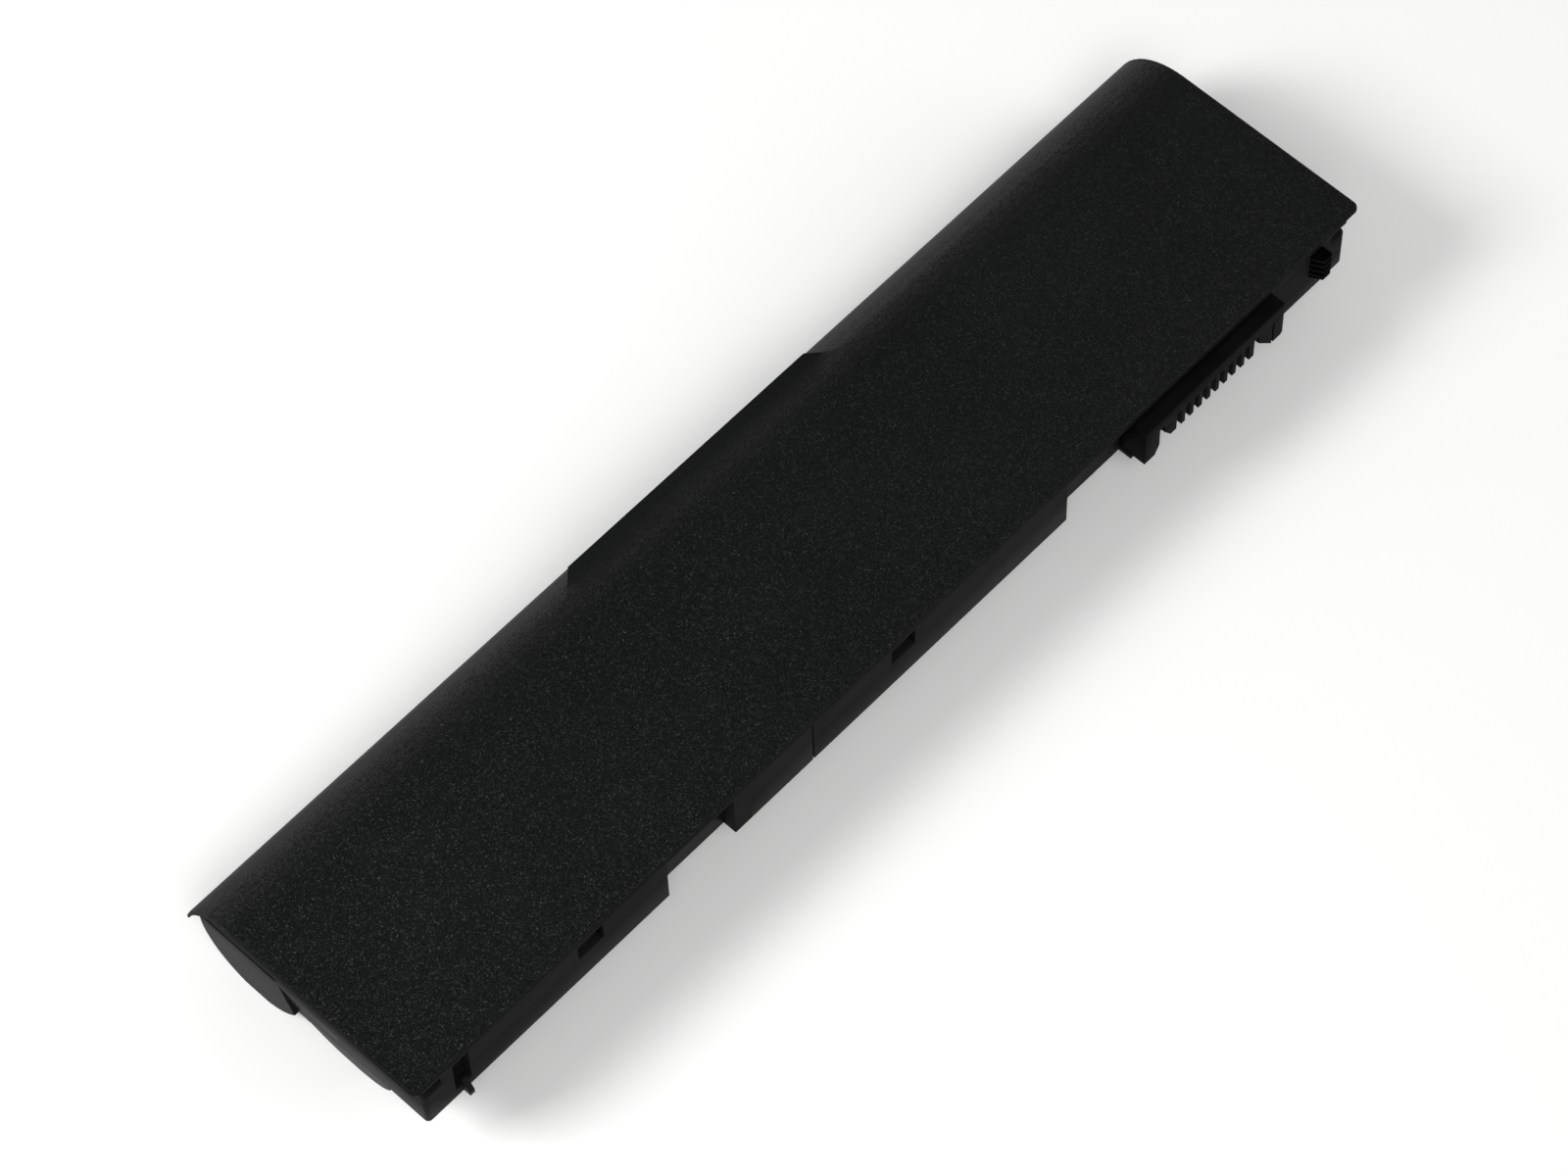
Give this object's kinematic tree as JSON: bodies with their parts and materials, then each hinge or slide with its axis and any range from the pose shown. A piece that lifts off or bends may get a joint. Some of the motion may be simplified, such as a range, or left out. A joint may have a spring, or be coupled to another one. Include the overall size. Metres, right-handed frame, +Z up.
{
  "type": "laptop battery",
  "caption": "Slim removable laptop battery: a matt lid with a rounded long edge on a lobed case of round cells, with a comb-like plug and hooks on the other edge.",
  "frame": {"origin": "on the underside, at the middle of the outline", "axes": "+X along the length towards the plug's end, +Y from the plug's side to the rounded edge, +Z up out of the matt face"},
  "size_m": [0.208, 0.052, 0.0208],
  "materials": {
    "lid_plastic": "spark-eroded matt ABS blend, near black",
    "case_plastic": "moulded ABS blend, near black, fine satin",
    "plug_plastic": "glass-filled nylon, black",
    "cell_sleeve": "shrunk PVC sleeve on a steel can",
    "nickel_strip": "rolled nickel strip",
    "fish_paper": "pressed insulating card",
    "board_laminate": "glass epoxy with green solder mask",
    "chip_moulding": "black epoxy moulding",
    "ceramic_part": "fired ceramic with tinned ends",
    "bead_epoxy": "dipped epoxy bead",
    "contact_metal": "gold flashed copper alloy"
  },
  "bodies": {
    "root": {"top_cover": "lid_plastic", "bottom_case": "case_plastic", "cell_1": "cell_sleeve", "cell_2": "cell_sleeve", "cell_3": "cell_sleeve", "cell_4": "cell_sleeve", "cell_5": "cell_sleeve", "cell_6": "cell_sleeve", "negative_strip": "nickel_strip", "series_strip_1": "nickel_strip", "series_strip_2": "nickel_strip", "positive_strip": "nickel_strip", "card_near_end": "fish_paper", "card_between_1": "fish_paper", "card_between_2": "fish_paper", "card_far_end": "fish_paper", "protection_board": "board_laminate", "gauge_chip": "chip_moulding", "second_protector_chip": "chip_moulding", "charge_transistor": "chip_moulding", "discharge_transistor": "chip_moulding", "cell_fuse": "ceramic_part", "sense_resistor": "ceramic_part", "board_capacitors": "ceramic_part", "thermistor": "bead_epoxy", "connector_housing": "plug_plastic", "connector_contacts": "contact_metal"}
  },
  "joints": []
}
